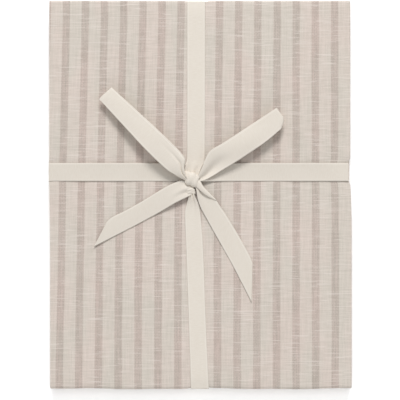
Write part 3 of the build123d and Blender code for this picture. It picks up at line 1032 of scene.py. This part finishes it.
def loop(name, left, right, far_left, far_right, gap, ripple, round_end):
    """left and right: the upper ply's edges from the knot outwards. The lower ply comes back
    beneath them, gap(share) mm lower. far_left, far_right: the far fold's outermost points.
    round_end: how far the middle of the fold bellies out."""
    out_left = smooth_path(left, LOOP_ROWS)
    out_right = smooth_path(right, LOOP_ROWS)
    share = np.linspace(0, 1, LOOP_ROWS)
    back_left = out_left[::-1].copy()
    back_right = out_right[::-1].copy()
    for edge, shift in ((back_left, 0.5), (back_right, 0.3)):
        edge[:, 2] -= gap(share[::-1])
        edge[:, 0] += shift * np.sin(math.pi * share)
    out_way = (out_left[-1] + out_right[-1] - out_left[0] - out_right[0])[:2]
    out_way = out_way / np.linalg.norm(out_way)
    left_line = np.vstack([out_left, [far_left], back_left])
    right_line = np.vstack([out_right, [far_right], back_right])

    def on_both_plies(along, across):
        return ripple(1 - np.abs(along * 2 - 1), across)

    points, weave_map, length = strip(left_line, right_line, LOOP_COLUMNS, on_both_plies)
    near_fold = hump(np.arange(len(points)) - LOOP_ROWS, 7.0)
    across = np.linspace(0, 1, LOOP_COLUMNS)
    belly = np.interp(across, [0, 0.25, 0.55, 0.68, 0.8, 1], [0, 0.42, 0.93, 1, 0.8, 0])
    bulge = near_fold[:, None] * round_end * belly[None, :]
    points[:, :, :2] += bulge[:, :, None] * out_way
    return sheet_from(name, points, weave_map, WALL, tape_weave), length


LEFT_LOOP_UPPER = [(-10.4, 14.0, 22.4), (-12.8, 18.5, 23.4), (-13.6, 23.5, 24.2), (-12.8, 28.6, 24.8),
                   (-12.9, 31.2, 25.2), (-15.5, 34.8, 25.8), (-19.0, 38.9, 26.4), (-34.8, 54.3, 28.6),
                   (-55.0, 73.0, 27.4), (-76.2, 92.6, 24.6)]
LEFT_LOOP_LOWER = [(-10.6, 11.5, 21.0), (-16.3, 14.1, 22.6), (-23.0, 18.0, 24.6), (-30.4, 23.0, 26.4),
                   (-47.2, 39.1, 28.4), (-65.5, 58.9, 26.4), (-87.1, 82.4, 23.8)]
RIGHT_LOOP_UPPER = [(-3.6, 14.5, 22.4), (-0.5, 18.2, 23.4), (2.6, 25.0, 24.8), (4.9, 31.0, 25.6),
                    (9.8, 38.6, 26.4), (21.9, 45.8, 26.6), (45.0, 61.0, 27.0), (66.2, 74.9, 26.6)]
RIGHT_LOOP_LOWER = [(-1.6, 11.4, 21.6), (6.2, 13.4, 21.8), (18.4, 20.5, 22.8), (30.6, 27.9, 24.6),
                    (43.7, 36.5, 26.0), (57.0, 45.6, 26.4), (70.2, 56.6, 25.8)]


def left_gap(share):
    return 0.5 + 2.2 * np.sin(math.pi * share) ** 1.2


def right_gap(share):
    return 0.9 + 3.2 * np.sin(math.pi * share ** 1.3) ** 1.1


def left_pleat(share, across):
    near = hump(share, 0.20)
    ridge = hump(across - 0.13, 0.11)
    crease = hump(across - 0.31 - 0.14 * hump(share, 0.12), 0.05)
    arch = np.sin(math.pi * across)
    return near * (1.4 * ridge - 2.0 * crease + 1.1 * arch) + 0.4 * arch


def right_pleat(share, across):
    near = hump(share - 0.16, 0.17)
    hollow = hump(across - 0.66, 0.24)
    middle = hump(share - 0.58, 0.2)
    return -3.0 * near * hollow + 1.0 * middle * np.sin(math.pi * across) + 0.4 * near * across


bow_loop_left, left_loop_length = loop("loop_left", LEFT_LOOP_UPPER, LEFT_LOOP_LOWER,
                                       (-76.6, 93.2, 24.2), (-87.6, 82.8, 23.5),
                                       left_gap, left_pleat, 0.3)
bow_loop_right, right_loop_length = loop("loop_right", RIGHT_LOOP_UPPER, RIGHT_LOOP_LOWER,
                                         (66.8, 75.4, 25.8), (70.6, 56.9, 25.0),
                                         right_gap, right_pleat, 4.6)
print("loops:", round(left_loop_length), "and", round(right_loop_length), "mm of tape")


# %% Tails
def tail(name, left, right, ripple, painted_shade):
    return tape_piece(name, smooth_path(left, 90), smooth_path(right, 90), 17, ripple, painted_shade)


LEFT_TAIL_UPPER = on_cloth(
    [(-5.0, 9.5), (-10.0, 12.0), (-14.7, 12.6), (-20.0, 11.0), (-30.4, 6.2), (-50.0, -5.7),
     (-64.0, -13.6), (-76.1, -19.6), (-81.0, -23.8)],
    [1.2, 2.0, 2.4, 2.4, 1.8, 0.9, 0.8, 0.9, 1.1])
LEFT_TAIL_LOWER = on_cloth(
    [(-5.6, 1.6), (-7.0, -0.4), (-9.7, -1.6), (-21.7, -7.6), (-30.4, -12.8), (-39.2, -17.9),
     (-58.0, -28.0), (-76.0, -37.2), (-92.4, -45.6)],
    [1.2, 3.2, 4.2, 3.5, 2.0, 0.9, 0.5, 0.6, 1.5])
RIGHT_TAIL_LEFT = on_cloth(
    [(-5.0, 8.0), (-3.2, 4.6), (-2.5, 0.8), (-1.7, -4.3), (0.3, -10.2), (4.4, -18.4),
     (20.0, -46.4), (28.9, -62.4), (37.0, -78.0), (45.2, -94.2)],
    [2.6, 3.6, 3.8, 3.1, 1.9, 1.0, 0.42, 0.42, 0.45, 0.6])
RIGHT_TAIL_RIGHT = on_cloth(
    [(-3.6, 12.6), (0.3, 11.4), (3.6, 6.4), (9.0, 0.4), (14.0, -4.6), (18.4, -11.2),
     (24.0, -19.4), (35.9, -39.3), (43.9, -54.3), (46.0, -60.4)],
    [3.2, 3.4, 3.0, 2.3, 1.8, 1.3, 0.9, 0.6, 0.6, 0.6])
EAR_OUTER = on_cloth(
    [(-2.6, 13.4), (0.4, 11.8), (3.3, 6.8), (8.8, 0.9), (14.3, -4.7)],
    [4.2, 4.3, 4.0, 3.2, 1.9])
EAR_INNER = on_cloth(
    [(-4.8, 8.8), (-2.7, 6.2), (1.6, 2.2), (7.0, -1.8), (13.3, -5.0)],
    [4.5, 4.6, 4.2, 3.3, 1.9])


def left_tail_pleat(share, across):
    near = hump(share, 0.19)
    ridge = hump(across - 0.42 - 0.8 * share, 0.16)
    valley = hump(across - 0.72 + 0.3 * share, 0.12)
    return near * (1.3 * ridge - 1.0 * valley) + 0.14 * np.sin(math.pi * across)


def right_tail_pleat(share, across):
    near = hump(share, 0.15)
    hollow = hump(across - 0.40, 0.25)
    creased = -1.3 * hollow + 0.4 * pleats(across, 1.3, 0.3)
    return near * creased + 0.15 * np.sin(math.pi * across)


def ear_arch(along, across):
    return 0.5 * np.sin(math.pi * across) + 0 * along


def joined(first, second):
    """Adds the second piece's mesh to the first and removes the second."""
    shape = bmesh.new()
    shape.from_mesh(first.data)
    shape.from_mesh(second.data)
    shape.to_mesh(first.data)
    shape.free()
    bpy.data.objects.remove(second)
    return first


# half the painted shade, for tape that runs slantwise to the light
HALF_PAINTED_SHADE_ACROSS_LIGHT = (1 + PAINTED_SHADE_ACROSS_LIGHT) / 2
tail_left, left_tail_length = tail("left_tail", LEFT_TAIL_UPPER, LEFT_TAIL_LOWER,
                                   left_tail_pleat, PAINTED_SHADE_ACROSS_LIGHT)
tail_right, right_tail_length = tail("right_tail", RIGHT_TAIL_RIGHT, RIGHT_TAIL_LEFT,
                                     right_tail_pleat, HALF_PAINTED_SHADE_ACROSS_LIGHT)
# the tail's right edge is turned over on itself beside the knot, and shows three tenths of the tape
ear_points, ear_weave, _ = strip(smooth_path(EAR_OUTER, 24), smooth_path(EAR_INNER, 24), 7, ear_arch)
ear_weave[:, :, 0] *= 0.3
ear = sheet_from("turned_edge", ear_points, ear_weave, WALL, tape_weave, HALF_PAINTED_SHADE_ACROSS_LIGHT)
tail_right = joined(tail_right, ear)
print("tails:", round(left_tail_length), "and", round(right_tail_length), "mm of tape")

# %% [markdown]
# ## What each piece rides on
# The knot and the bands stay with the parcel. The loops and the tails are left where they are,
# and each tail is cut in two at its middle.

# %% Cutting a tail in two
def halves(piece, point, heading):
    """Cuts a piece in two across its length and closes each cut. Returns the near and the far part.
    point: a place on the cut in plan, in mm. heading: the way from the near part to the far one."""
    far = bpy.data.objects.new(piece.name + "_end", piece.data.copy())
    bpy.context.scene.collection.objects.link(far)
    for part, side in ((piece, 1), (far, -1)):
        shape = bmesh.new()
        shape.from_mesh(part.data)
        everything = shape.verts[:] + shape.edges[:] + shape.faces[:]
        way = Vector((heading[0] * side, heading[1] * side, 0))
        place = Vector((point[0] * MM, point[1] * MM, 0))
        bmesh.ops.bisect_plane(shape, geom=everything, plane_co=place, plane_no=way, clear_outer=True)
        rim = [edge for edge in shape.edges if edge.is_boundary]
        caps = bmesh.ops.holes_fill(shape, edges=rim, sides=0)["faces"]
        for face in caps:
            if face.normal.dot(way) < 0:
                face.normal_flip()
        for edge in rim:
            edge.smooth = False
        for face in caps:
            face.smooth = False
        shape.to_mesh(part.data)
        shape.free()
    return piece, far


def bends(piece):
    """Bakes the piece's placement into its mesh. It sets up no bending."""
    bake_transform(piece)


for piece in (tape_across, tape_upper, tape_lower, crossing_first, crossing_second, bow_knot, half_knot):
    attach(piece, "parcel")
bends(bow_loop_left)
bends(bow_loop_right)
tail_left, tail_left_end = halves(tail_left, (-39.6, -8.7), (-0.885, -0.466))
tail_right, tail_right_end = halves(tail_right, (17.2, -26.0), (0.48, -0.877))
bends(tail_left)
bends(tail_right)
bends(tail_left_end)
bends(tail_right_end)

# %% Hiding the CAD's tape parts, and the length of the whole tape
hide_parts("tape_across")
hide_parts("tape_upper")
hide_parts("tape_lower")
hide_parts("tape_crossing")
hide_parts("bow_knot")
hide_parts("half_knot")
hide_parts("bow_loop_left")
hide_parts("bow_loop_right")
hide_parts("tail_left")
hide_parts("tail_right")
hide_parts("tail_left_end")
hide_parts("tail_right_end")

# in the half knot the tape is folded along its length, so half its width shows
tape_lengths = [across_length, upper_length, lower_length, 2 * TURN_LENGTH, bow_turn_length, half_turn_length,
                left_loop_length, right_loop_length, left_tail_length, right_tail_length]
print("the whole tape:", round(sum(tape_lengths)), "mm")
